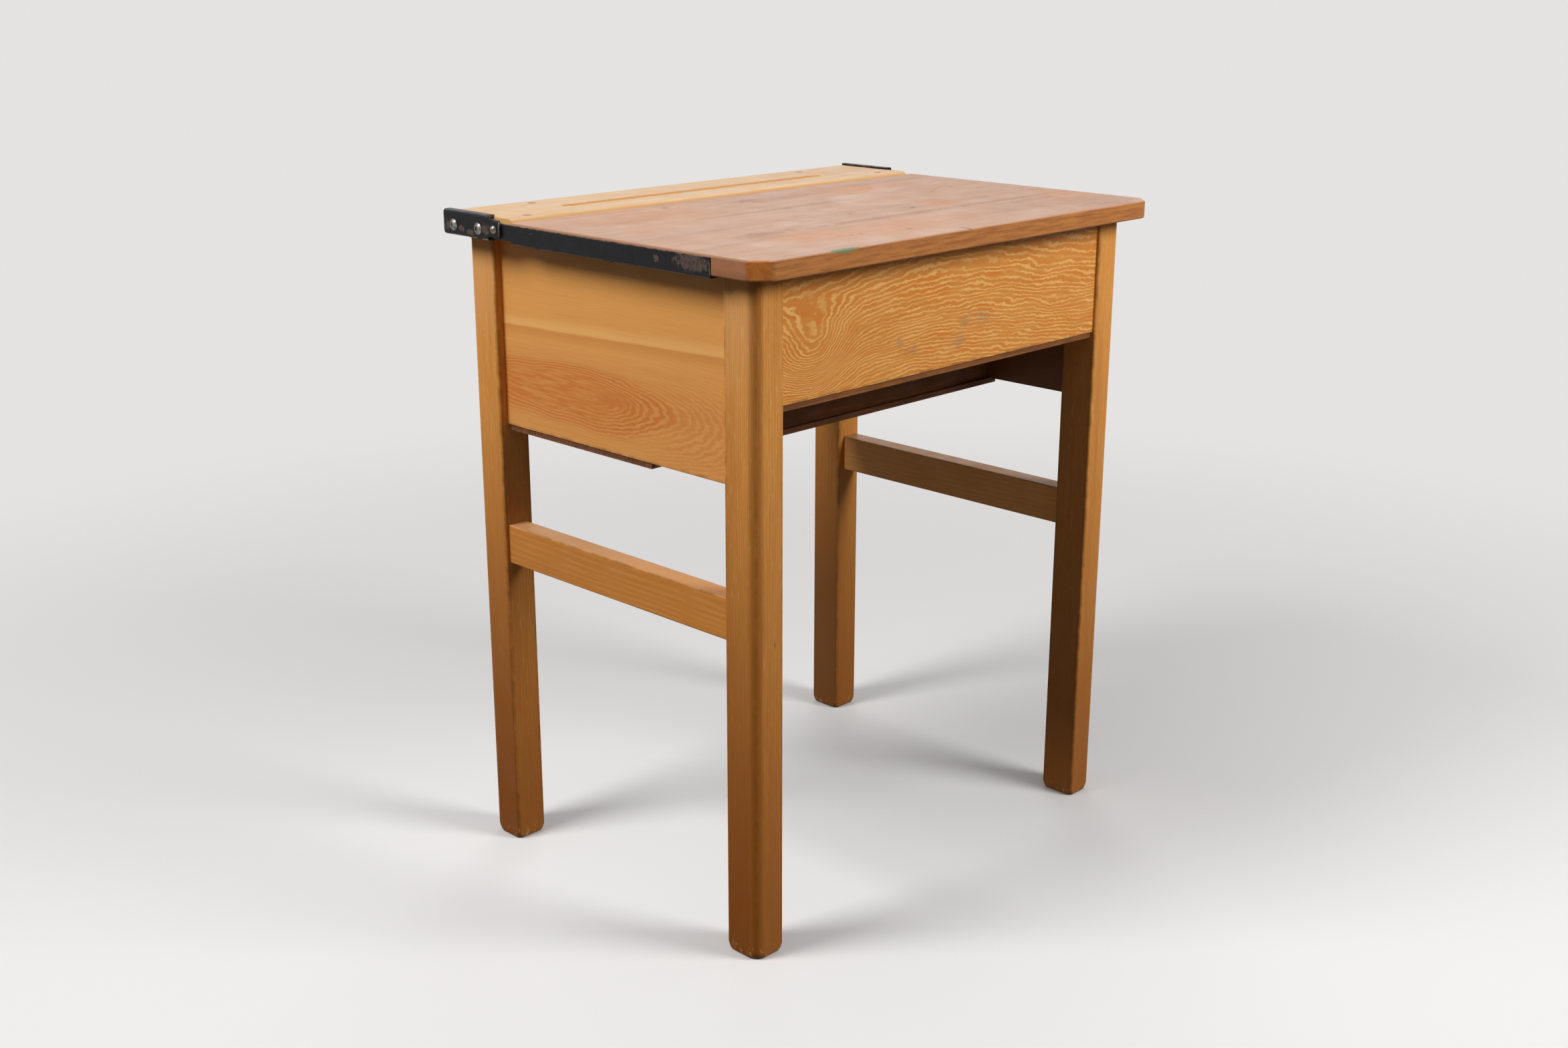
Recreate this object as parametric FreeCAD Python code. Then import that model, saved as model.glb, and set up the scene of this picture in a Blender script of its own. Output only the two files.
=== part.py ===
import FreeCAD, Part
import math
import os

# School desk with a lift lid and a fixed rear ledge.
# Millimetres.  X runs along the front, the user sits on the -Y side, +Z is up.
# The origin is on the floor, under the middle of the top.

V = FreeCAD.Vector
X_AXIS = V(1, 0, 0)
Y_AXIS = V(0, 1, 0)
Z_AXIS = V(0, 0, 1)
CENTRE = V(0, 0, 0)
cut_past = 1.0                # cutting shapes run this far past the faces they open

# ---- Top: lid and fixed ledge -------------------------------------------------------
top_width = 610.0
top_depth = 457.0
overhang_front = 28.0
overhang_side = 22.0
overhang_rear = 6.0

lid_thickness = 19.0
lid_rest_gap = 0.3            # between the shut lid and the leg tops
lid_rear_round = 4.0
lid_arris = 1.2
lid_corner_clip = 17.0
lid_clip_round = 4.0          # where each clip meets the front and the side

ledge_depth = 105.0
ledge_thickness = 21.5
ledge_front_round = 6.0
ledge_arris = 1.2
groove_width = 13.0           # pencil groove, cut with a ball-nosed tool
groove_depth = 6.0
groove_length = 381.0         # between the centres of its round ends
groove_setback = 48.0         # ledge front to groove centre

# ---- Leg frame ----------------------------------------------------------------------
seat_height = 686.0           # tops of legs and panels, under the lid and the ledge
leg_width = 37.0              # along X
leg_depth = 42.0              # along Y
leg_round = 9.0               # the desk's outer corners
leg_arris = 2.5               # the other upright edges
foot_chamfer = 2.2

panel_thickness = 12.0
side_panel_inset = 9.5        # behind the legs' outer faces
end_panel_inset = 3.7         # front and back panels
side_panel_bottom = 484.0
front_panel_bottom = 562.0
panel_arris = 0.8
tongue_thickness = 6.0
tongue_length = 8.0
groove_end_gap = 1.0          # glue room at the bottom of every groove and mortise

stretcher_bottom = 330.0
stretcher_height = 43.0
stretcher_thickness = 23.5
stretcher_inset = 4.5
stretcher_arris = 1.5
tenon_thickness = 10.0
tenon_shoulder = 5.0
tenon_length = 22.0

# ---- Locker bottom ------------------------------------------------------------------
board_thickness = 6.0         # both thin boards
bottom_side_inset = 1.5       # board edge inside the panels' outer faces
riser_setback = 156.5         # front panel's outer face to the riser's front face
riser_thickness = 12.0
bottom_front_lip = 5.0        # the bottom board shows this much ahead of the riser
front_floor_inset = 2.0       # thin floor's front edge behind the front panel's face
housing_depth = 4.0           # trenches in the side panels for the riser and thin floor
notch_gap = 0.5               # thin boards clear the legs by this much

# ---- Hinge --------------------------------------------------------------------------
steel_thickness = 2.5
side_clearance = 0.4          # between plates that turn past each other
arm_leg = 19.0                # both legs of the arm's angle section
arm_round = 1.2
arm_front_setback = 63.0      # lid front to the arm's front end
arm_end_gap = 1.5
arm_notch_start = 1.0         # under-flange starts this far ahead of the lid's rear edge
tongue_rise = 3.0             # arm's tongue is this much shallower than its web
heel_reach = 13.0             # arm's rear end behind the pivot
heel_width = 8.0
heel_round = 2.4
tail_round = 5.0

pivot_setback = 22.0          # ledge front to the pivot
pivot_rise = 10.5             # pivot above the leg tops
lid_opening = 98.0            # degrees, where the arm meets the bracket's flange
stop_gap = 0.3
swing_clearance = 0.7         # lid's rear face past the ledge's rounded edge

bracket_drop = 1.0            # plate hangs below the ledge
bracket_flange = 9.0
bracket_bend = 3.5            # outer bend radius
bracket_corner = 4.0
lug_reach = 9.5               # ahead of the pivot
lug_height = 18.0
lug_drop = 8.0                # below the pivot
lug_round = 3.5

rivet_radius = 2.5
rivet_fit = 0.06              # radial running clearance in the arm
rivet_head_radius = 4.4
rivet_head_height = 2.8
rivet_tail_radius = 4.2
rivet_tail_height = 1.5

# ---- Screws and brads --------------------------------------------------------------
bracket_screw_pitch = 41.0
bracket_screw_end = 17.0      # from the bracket's rear end
bracket_screw_rise = 9.0      # above the leg tops
bracket_screw_radius = 2.4
bracket_screw_length = 30.0
bracket_head_radius = 6.1
bracket_head_height = 2.9

arm_screw_radius = 1.8
arm_screw_length = 13.0
arm_head_radius = 3.6
arm_head_height = 2.2
arm_screw_edge = 9.5          # from the arm's outer face
arm_screw_ends = 30.0         # first and last screw from the under-flange's ends
arm_screw_count = 3

ledge_screw_radius = 2.4
ledge_screw_length = 40.0
ledge_head_height = 2.5
plug_radius = 4.8
plug_length = 8.0
back_screw_offset = 205.0     # ledge screws into the back panel, either side of the middle
side_screw_setback = 18.0     # ledge screws into the side panels, behind the ledge's front

brad_width = 1.8              # square-section brads hold the thin boards
brad_length = 20.0
brad_edge = 30.0              # first brad from the end of its row
brad_count = 3                # in each row

# ---- Places worked out from the sizes -----------------------------------------------
half_width = top_width / 2
top_front = -top_depth / 2
top_back = top_depth / 2
frame_half = half_width - overhang_side
frame_front = top_front + overhang_front
frame_back = top_back - overhang_rear
front_leg_back = frame_front + leg_depth
back_leg_front = frame_back - leg_depth
leg_inner = frame_half - leg_width

side_outer = frame_half - side_panel_inset
side_inner = side_outer - panel_thickness
front_outer = frame_front + end_panel_inset
front_inner = front_outer + panel_thickness
back_outer = frame_back - end_panel_inset
back_inner = back_outer - panel_thickness

ledge_front = top_back - ledge_depth
ledge_top = seat_height + ledge_thickness
ledge_end = half_width + side_clearance
pivot_y = ledge_front + pivot_setback
pivot_z = seat_height + pivot_rise

# The lid's rear face just clears the ledge's rounded edge as it swings about the pivot.
round_centre_reach = math.hypot(pivot_setback - ledge_front_round, ledge_top - pivot_z - ledge_front_round)
lid_back = pivot_y - (round_centre_reach + ledge_front_round + swing_clearance)
lid_bottom = seat_height + lid_rest_gap
lid_top = lid_bottom + lid_thickness

arm_front = top_front + arm_front_setback
arm_bottom = lid_bottom - steel_thickness
arm_top = arm_bottom + arm_leg
arm_inner = half_width - steel_thickness
flange_back = lid_back - arm_notch_start
tongue_bottom = arm_bottom + tongue_rise
arm_back = pivot_y + heel_reach

bracket_inner = ledge_end
bracket_outer = bracket_inner + steel_thickness
bracket_bottom = seat_height - bracket_drop
bracket_top = ledge_top + steel_thickness
bracket_front = pivot_y - lug_reach

# The bracket's top flange ends where the arm's upper edge meets it at full opening.
opening = math.radians(lid_opening)
stop_rise = (bracket_top - pivot_z) * math.cos(opening)
flange_front = pivot_y + (arm_top - pivot_z + stop_gap - stop_rise) / math.sin(opening)

# The ledge's ends are cut back for the arm's tongue and the rivet's inner end.
pocket_depth = side_clearance + steel_thickness + side_clearance + rivet_tail_height + side_clearance
pocket_back = pivot_y + heel_reach + 2 * side_clearance

front_floor_top = front_panel_bottom
front_floor_bottom = front_floor_top - board_thickness
riser_front = front_outer + riser_setback
riser_back = riser_front + riser_thickness
bottom_front = riser_front - bottom_front_lip
bottom_bottom = side_panel_bottom - board_thickness
bottom_half = side_outer - bottom_side_inset
bottom_back = back_outer - bottom_side_inset


# ---- Helpers ------------------------------------------------------------------------
def box(x0, x1, y0, y1, z0, z1):
    return Part.makeBox(x1 - x0, y1 - y0, z1 - z0, V(x0, y0, z0))


def rod(radius, start, end):
    return Part.makeCylinder(radius, (end - start).Length, start, end - start)


def mirrored(shape):
    return shape.mirror(CENTRE, X_AXIS)


def runs_along(edge, axis):
    if len(edge.Vertexes) != 2:
        return False
    span = edge.Vertexes[1].Point - edge.Vertexes[0].Point
    return span.Length > 0 and abs(abs(span.dot(axis)) - span.Length) < 1e-6


def edges_where(shape, axis, test):
    """Straight edges parallel to axis whose middle point passes the test."""
    found = []
    for edge in shape.Edges:
        if runs_along(edge, axis):
            middle = (edge.Vertexes[0].Point + edge.Vertexes[1].Point) / 2
            if test(middle):
                found.append(edge)
    return found


def near(value, target):
    return abs(value - target) < 1e-4


def rounded(shape, radius, axis, test):
    edges = edges_where(shape, axis, test)
    return shape.makeFillet(radius, edges) if edges else shape


def side_plate(outline, x0, x1):
    """Flat plate across X from an outline of (y, z) corners."""
    points = [V(x0, y, z) for y, z in outline]
    face = Part.Face(Part.makePolygon(points + points[:1]))
    return face.extrude(V(x1 - x0, 0, 0))


def brad(x, y, z):
    """Square-section brad driven up from its flat end at (x, y, z)."""
    half = brad_width / 2
    return box(x - half, x + half, y - half, y + half, z, z + brad_length)


def turned(seat, direction, profile):
    """Solid of revolution on the axis from seat along direction.

    profile lists (distance along the axis, radius) from the first end on the axis to the last.
    """
    across = Z_AXIS if abs(direction.z) < 0.5 else X_AXIS
    points = [seat + direction * along + across * radius for along, radius in profile]
    face = Part.Face(Part.makePolygon(points + points[:1]))
    return face.revolve(seat, direction, 360)


def dome_head(centre, direction, radius, height):
    """Spherical cap on a flat face; direction points out of the face."""
    ball_radius = (radius * radius + height * height) / (2 * height)
    ball_centre = centre - direction * (ball_radius - height)
    ball = Part.makeSphere(ball_radius, ball_centre)
    keep = Part.makeCylinder(radius + cut_past, height + cut_past, centre, direction)
    return ball.common(keep)


def spaced(first, last, count):
    step = (last - first) / (count - 1)
    return [first + step * i for i in range(count)]


# ---- Legs and stretchers ------------------------------------------------------------
def side_tongue_span():
    middle = (side_outer + side_inner) / 2
    return middle - tongue_thickness / 2, middle + tongue_thickness / 2


def end_tongue_span(outer, inner):
    middle = (outer + inner) / 2
    return middle - tongue_thickness / 2, middle + tongue_thickness / 2


def tenon_span():
    outer = frame_half - stretcher_inset
    middle = outer - stretcher_thickness / 2
    return middle - tenon_thickness / 2, middle + tenon_thickness / 2


def leg(y_low, y_high, inner_face, into_leg, end_panel, end_bottom):
    """Right-hand leg.  inner_face is the Y of the face that looks at the other leg of its side."""
    outer_face = y_low + y_high - inner_face
    shape = box(leg_inner, frame_half, y_low, y_high, 0, seat_height)
    shape = rounded(shape, leg_round, Z_AXIS, lambda p: near(p.x, frame_half) and near(p.y, outer_face))
    shape = rounded(shape, leg_arris, Z_AXIS, lambda p: near(p.x, leg_inner) or near(p.y, inner_face))
    foot = [e for e in shape.Edges if all(near(v.Point.z, 0) for v in e.Vertexes)]
    shape = shape.makeChamfer(foot_chamfer, foot)
    depth = tongue_length + groove_end_gap
    x0, x1 = side_tongue_span()
    y0, y1 = sorted((inner_face, inner_face + into_leg * depth))
    shape = shape.cut(box(x0, x1, y0, y1, side_panel_bottom, seat_height))
    y0, y1 = end_tongue_span(*end_panel)
    shape = shape.cut(box(leg_inner, leg_inner + depth, y0, y1, end_bottom, seat_height))
    x0, x1 = tenon_span()
    y0, y1 = sorted((inner_face, inner_face + into_leg * (tenon_length + groove_end_gap)))
    low = stretcher_bottom + tenon_shoulder
    high = stretcher_bottom + stretcher_height - tenon_shoulder
    return shape.cut(box(x0, x1, y0, y1, low, high))


def front_leg():
    return leg(frame_front, front_leg_back, front_leg_back, -1,
               (front_outer, front_inner), front_panel_bottom)


def back_leg():
    return leg(back_leg_front, frame_back, back_leg_front, 1,
               (back_inner, back_outer), side_panel_bottom)


def stretcher():
    x1 = frame_half - stretcher_inset
    x0 = x1 - stretcher_thickness
    top = stretcher_bottom + stretcher_height
    rail = box(x0, x1, front_leg_back, back_leg_front, stretcher_bottom, top)
    rail = rounded(rail, stretcher_arris, Y_AXIS, lambda p: True)
    t0, t1 = tenon_span()
    tenon = box(t0, t1, front_leg_back - tenon_length, back_leg_front + tenon_length,
                stretcher_bottom + tenon_shoulder, top - tenon_shoulder)
    return rail.fuse(tenon).removeSplitter()


# ---- Locker panels and boards -------------------------------------------------------
def side_panel():
    panel = box(side_inner, side_outer, front_leg_back, back_leg_front, side_panel_bottom, seat_height)
    panel = rounded(panel, panel_arris, Y_AXIS,
                    lambda p: near(p.z, side_panel_bottom) and near(p.x, side_outer))
    x0, x1 = side_tongue_span()
    tongue = box(x0, x1, front_leg_back - tongue_length, back_leg_front + tongue_length,
                 side_panel_bottom, seat_height)
    panel = panel.fuse(tongue).removeSplitter()
    riser_trench = box(side_inner, side_inner + housing_depth, riser_front, riser_back,
                       side_panel_bottom, front_floor_bottom)
    floor_trench = box(side_inner, side_inner + housing_depth, front_leg_back - tongue_length, riser_back,
                       front_floor_bottom, front_floor_top)
    return panel.cut(riser_trench).cut(floor_trench)


def end_panel(outer, inner, bottom):
    y0, y1 = sorted((outer, inner))
    panel = box(-leg_inner, leg_inner, y0, y1, bottom, seat_height)
    panel = rounded(panel, panel_arris, X_AXIS, lambda p: near(p.z, bottom) and near(p.y, outer))
    t0, t1 = end_tongue_span(y0, y1)
    reach = leg_inner + tongue_length
    return panel.fuse(box(-reach, reach, t0, t1, bottom, seat_height)).removeSplitter()


def riser():
    reach = side_inner + housing_depth
    return box(-reach, reach, riser_front, riser_back, side_panel_bottom, front_floor_bottom)


def front_floor():
    """Thin floor of the shallow front part, notched round the front legs."""
    reach = side_inner + housing_depth
    narrow = leg_inner - notch_gap
    wide = box(-reach, reach, front_leg_back + notch_gap, riser_back, front_floor_bottom, front_floor_top)
    tab = box(-narrow, narrow, front_outer + front_floor_inset, riser_back,
              front_floor_bottom, front_floor_top)
    return wide.fuse(tab).removeSplitter()


def bottom_board():
    """Bottom of the deep part, fixed under the panels and notched round the back legs."""
    narrow = leg_inner - notch_gap
    wide = box(-bottom_half, bottom_half, bottom_front, back_leg_front - notch_gap,
               bottom_bottom, side_panel_bottom)
    tab = box(-narrow, narrow, bottom_front, bottom_back, bottom_bottom, side_panel_bottom)
    return wide.fuse(tab).removeSplitter()


# ---- Ledge and lid ------------------------------------------------------------------
def pencil_groove():
    """Ball-nosed cutter's path: a lying cylinder with a ball at each end."""
    depth_radius = ((groove_width / 2) ** 2 + groove_depth ** 2) / (2 * groove_depth)
    radius = max(depth_radius, groove_width / 2)
    z = ledge_top - groove_depth + radius
    y = ledge_front + groove_setback
    start = V(-groove_length / 2, y, z)
    end = V(groove_length / 2, y, z)
    return rod(radius, start, end).fuse(Part.makeSphere(radius, start)).fuse(Part.makeSphere(radius, end))


def ledge():
    board = box(-ledge_end, ledge_end, ledge_front, top_back, seat_height, ledge_top)
    board = rounded(board, ledge_front_round, X_AXIS,
                    lambda p: near(p.y, ledge_front) and near(p.z, ledge_top))
    board = rounded(board, ledge_arris, X_AXIS, lambda p: near(p.y, top_back))
    end_top = edges_where(board, Y_AXIS, lambda p: near(p.z, ledge_top) and near(abs(p.x), ledge_end))
    board = board.makeChamfer(ledge_arris, end_top)
    pocket = box(ledge_end - pocket_depth, ledge_end + cut_past, ledge_front - cut_past, pocket_back,
                 seat_height - cut_past, ledge_top + cut_past)
    return board.cut(pocket).cut(mirrored(pocket)).cut(pencil_groove())


def lid():
    """Board with clipped front corners, rebated along each side for the arm's web."""
    clip = lid_corner_clip
    outline = [(-half_width, lid_back), (-half_width, top_front + clip), (-half_width + clip, top_front),
               (half_width - clip, top_front), (half_width, top_front + clip), (half_width, lid_back)]
    points = [V(x, y, lid_bottom) for x, y in outline]
    board = Part.Face(Part.makePolygon(points + points[:1])).extrude(V(0, 0, lid_thickness))
    board = rounded(board, lid_clip_round, Z_AXIS, lambda p: p.y < lid_back - clip)
    board = rounded(board, lid_rear_round, X_AXIS, lambda p: near(p.y, lid_back) and near(p.z, lid_top))
    long_edges = edges_where(board, X_AXIS, lambda p: near(p.y, top_front) or near(p.z, lid_bottom))
    board = board.makeChamfer(lid_arris, long_edges)
    rebate = box(arm_inner, half_width + cut_past, arm_front - arm_end_gap, lid_back + cut_past,
                 lid_bottom - cut_past, arm_top)
    return board.cut(rebate).cut(mirrored(rebate))


# ---- Hinge --------------------------------------------------------------------------
def pivot_rod(radius, x0, x1):
    return rod(radius, V(x0, pivot_y, pivot_z), V(x1, pivot_y, pivot_z))


def hinge_arm():
    """Steel angle: web in the lid's side edge, flange under the lid, tongue and heel at the pivot."""
    web_outline = [(arm_front, arm_bottom), (flange_back, arm_bottom), (flange_back, tongue_bottom),
                   (arm_back - heel_width, tongue_bottom), (arm_back - heel_width, arm_bottom),
                   (arm_back, arm_bottom), (arm_back, arm_top), (arm_front, arm_top)]
    web = side_plate(web_outline, arm_inner, half_width)
    web = rounded(web, heel_round, X_AXIS, lambda p: near(p.z, arm_bottom) and p.y > pivot_y)
    web = rounded(web, tail_round, X_AXIS, lambda p: near(p.y, arm_back) and near(p.z, arm_top))
    web = rounded(web, arm_round, X_AXIS, lambda p: near(p.y, arm_front) and near(p.z, arm_top))
    flange = box(half_width - arm_leg, half_width, arm_front, flange_back, arm_bottom, lid_bottom)
    arm = web.fuse(flange).removeSplitter()
    arm = rounded(arm, arm_round, Y_AXIS,
                  lambda p: near(p.x, half_width) and near(p.z, arm_bottom) and p.y < lid_back)
    return arm.cut(pivot_rod(rivet_radius + rivet_fit, arm_inner - cut_past, half_width + cut_past))


def hinge_bracket():
    """Plate on the ledge's end with a flange bent over the top and a lug for the rivet."""
    lip_inner = bracket_outer - bracket_flange
    plate = box(bracket_inner, bracket_outer, flange_front, top_back, bracket_bottom, bracket_top)
    lip = box(lip_inner, bracket_outer, flange_front, top_back, ledge_top, bracket_top)
    bent = plate.fuse(lip).removeSplitter()
    bent = rounded(bent, bracket_bend, Y_AXIS, lambda p: near(p.x, bracket_outer) and near(p.z, bracket_top))
    inner_bend = bracket_bend - steel_thickness
    bent = rounded(bent, inner_bend, Y_AXIS, lambda p: near(p.x, bracket_inner) and near(p.z, ledge_top))
    bent = rounded(bent, bracket_corner, X_AXIS, lambda p: near(p.y, top_back) and near(p.z, bracket_bottom))
    lug_bottom = pivot_z - lug_drop
    lug = box(bracket_inner, bracket_outer, bracket_front, flange_front + bracket_corner,
              lug_bottom, lug_bottom + lug_height)
    lug = rounded(lug, lug_round, X_AXIS, lambda p: near(p.y, bracket_front))
    bracket = bent.fuse(lug).removeSplitter()
    return bracket.cut(pivot_rod(rivet_radius, bracket_inner - cut_past, bracket_outer + cut_past))


def pivot_rivets():
    """Rivets fixed in the brackets' lugs; the arms turn on their shanks."""
    tail_start = arm_inner - side_clearance
    shank = pivot_rod(rivet_radius, tail_start, bracket_outer)
    head = dome_head(V(bracket_outer, pivot_y, pivot_z), X_AXIS, rivet_head_radius, rivet_head_height)
    tail = pivot_rod(rivet_tail_radius, tail_start - rivet_tail_height, tail_start)
    rivet = shank.fuse(head).fuse(tail).removeSplitter()
    return [rivet, mirrored(rivet)]


# ---- Fasteners: each returns a list of separate solids ------------------------------
def bracket_screws():
    z = seat_height + bracket_screw_rise
    last = top_back - bracket_screw_end
    found = []
    for y in (last - bracket_screw_pitch, last):
        seat = V(bracket_outer, y, z)
        shank = rod(bracket_screw_radius, seat, seat - X_AXIS * bracket_screw_length)
        screw = shank.fuse(dome_head(seat, X_AXIS, bracket_head_radius, bracket_head_height))
        found += [screw, mirrored(screw)]
    return found


def arm_screws():
    x = half_width - arm_screw_edge
    found = []
    for y in spaced(arm_front + arm_screw_ends, flange_back - arm_screw_ends, arm_screw_count):
        screw = turned(V(x, y, arm_bottom), Z_AXIS,
                       [(-arm_head_height, 0), (-arm_head_height, arm_head_radius), (0, arm_head_radius),
                        (0, arm_screw_radius), (arm_screw_length, arm_screw_radius), (arm_screw_length, 0)])
        found += [screw, mirrored(screw)]
    return found


def ledge_screw_places():
    side_x = (side_outer + side_inner) / 2
    back_y = (back_outer + back_inner) / 2
    side_y = ledge_front + side_screw_setback
    return [(-side_x, side_y), (side_x, side_y), (-back_screw_offset, back_y), (back_screw_offset, back_y)]


def ledge_screws():
    """Each head fills its counterbore; a plug closes the hole above it."""
    head_z = ledge_top - plug_length
    profile = [(0, 0), (0, plug_radius), (ledge_head_height, plug_radius),
               (ledge_head_height, ledge_screw_radius), (ledge_screw_length, ledge_screw_radius),
               (ledge_screw_length, 0)]
    return [turned(V(x, y, head_z), Z_AXIS * -1, profile) for x, y in ledge_screw_places()]


def ledge_plugs():
    return [rod(plug_radius, V(x, y, ledge_top - plug_length), V(x, y, ledge_top))
            for x, y in ledge_screw_places()]


def board_brads():
    """Up through the bottom board into the side panels, the back panel and the riser."""
    side_x = (side_outer + side_inner) / 2
    back_y = (back_outer + back_inner) / 2
    riser_y = (riser_front + riser_back) / 2
    reach = leg_inner - brad_edge
    places = []
    for y in spaced(riser_back + brad_edge, back_leg_front - brad_edge, brad_count):
        places += [(-side_x, y), (side_x, y)]
    for x in spaced(-reach, reach, brad_count):
        places += [(x, riser_y), (x, back_y)]
    return [brad(x, y, bottom_bottom) for x, y in places]


def floor_brads():
    """Up through the thin floor into the front panel, and down through it into the riser."""
    front_y = (front_outer + front_inner) / 2
    riser_y = (riser_front + riser_back) / 2
    reach = leg_inner - brad_edge
    found = []
    for x in spaced(-reach, reach, brad_count):
        found.append(brad(x, front_y, front_floor_bottom))
        found.append(brad(x, riser_y, front_floor_top - brad_length))
    return found


def drilled(shape, fasteners):
    """Shape with the holes that its fasteners fill."""
    for fastener in fasteners:
        if shape.BoundBox.intersect(fastener.BoundBox):
            shape = shape.cut(fastener)
    return shape.removeSplitter()


# ---- Assembly -----------------------------------------------------------------------
def build():
    fasteners = {
        "pivot_rivets": pivot_rivets(),
        "bracket_screws": bracket_screws(),
        "arm_screws": arm_screws(),
        "ledge_screws": ledge_screws(),
        "ledge_plugs": ledge_plugs(),
        "board_brads": board_brads(),
        "floor_brads": floor_brads(),
    }
    holes = [solid for group in fasteners.values() for solid in group]

    right_front = front_leg()
    right_back = back_leg()
    right_stretcher = stretcher()
    right_panel = drilled(side_panel(), holes)
    right_arm = drilled(hinge_arm(), fasteners["arm_screws"])
    right_bracket = drilled(hinge_bracket(), fasteners["bracket_screws"])

    nodes = {
        "leg_front_left": mirrored(right_front),
        "leg_front_right": right_front,
        "leg_back_left": mirrored(right_back),
        "leg_back_right": right_back,
        "stretcher_left": mirrored(right_stretcher),
        "stretcher_right": right_stretcher,
        "side_panel_left": mirrored(right_panel),
        "side_panel_right": right_panel,
        "front_panel": drilled(end_panel(front_outer, front_inner, front_panel_bottom), holes),
        "back_panel": drilled(end_panel(back_outer, back_inner, side_panel_bottom), holes),
        "riser_board": drilled(riser(), holes),
        "front_floor": drilled(front_floor(), holes),
        "bottom_board": drilled(bottom_board(), holes),
        "rear_ledge": drilled(ledge(), holes),
        "lid": drilled(lid(), fasteners["arm_screws"]),
        "hinge_arm_left": mirrored(right_arm),
        "hinge_arm_right": right_arm,
        "hinge_bracket_left": mirrored(right_bracket),
        "hinge_bracket_right": right_bracket,
    }
    for name, solids in fasteners.items():
        nodes[name] = Part.makeCompound(solids)
    return nodes


def main():
    os.makedirs("parts", exist_ok=True)
    for name, shape in build().items():
        shape.exportStep("parts/" + name + ".step")
        print(name, len(shape.Solids), shape.isValid(), round(shape.Volume / 1000, 2))


main()
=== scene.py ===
import math

import bmesh
import bpy
from mathutils import Matrix, Vector


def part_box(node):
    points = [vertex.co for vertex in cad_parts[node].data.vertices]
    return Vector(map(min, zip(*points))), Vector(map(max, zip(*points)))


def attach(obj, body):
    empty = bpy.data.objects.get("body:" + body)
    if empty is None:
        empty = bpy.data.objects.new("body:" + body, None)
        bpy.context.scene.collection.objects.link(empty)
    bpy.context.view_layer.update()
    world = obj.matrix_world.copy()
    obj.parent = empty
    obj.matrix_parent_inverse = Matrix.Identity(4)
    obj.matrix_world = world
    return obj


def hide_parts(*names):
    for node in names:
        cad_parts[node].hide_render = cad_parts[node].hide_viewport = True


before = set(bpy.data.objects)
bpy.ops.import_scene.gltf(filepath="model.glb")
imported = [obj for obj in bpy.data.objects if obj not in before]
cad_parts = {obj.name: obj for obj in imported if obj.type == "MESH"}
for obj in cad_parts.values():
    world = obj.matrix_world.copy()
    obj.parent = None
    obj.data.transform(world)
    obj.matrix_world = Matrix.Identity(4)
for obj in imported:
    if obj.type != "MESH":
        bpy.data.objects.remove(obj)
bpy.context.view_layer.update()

MM = 0.001               # one millimetre in scene units


def srgb(red, green, blue):
    """Linear colour with alpha from the usual 0 to 255 values."""
    def linear(value):
        value /= 255
        return value / 12.92 if value <= 0.04045 else ((value + 0.055) / 1.055) ** 2.4
    return linear(red), linear(green), linear(blue), 1.0


# ---- Shader building ----------------------------------------------------------------
def add_node(tree, kind, inputs=None, **settings):
    """A shader node; each input is a value, or a socket to link from."""
    node = tree.nodes.new("ShaderNode" + kind)
    for name, value in settings.items():
        setattr(node, name, value)
    for key, value in (inputs or {}).items():
        if isinstance(value, bpy.types.NodeSocket):
            tree.links.new(value, node.inputs[key])
        else:
            node.inputs[key].default_value = value
    return node


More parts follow.
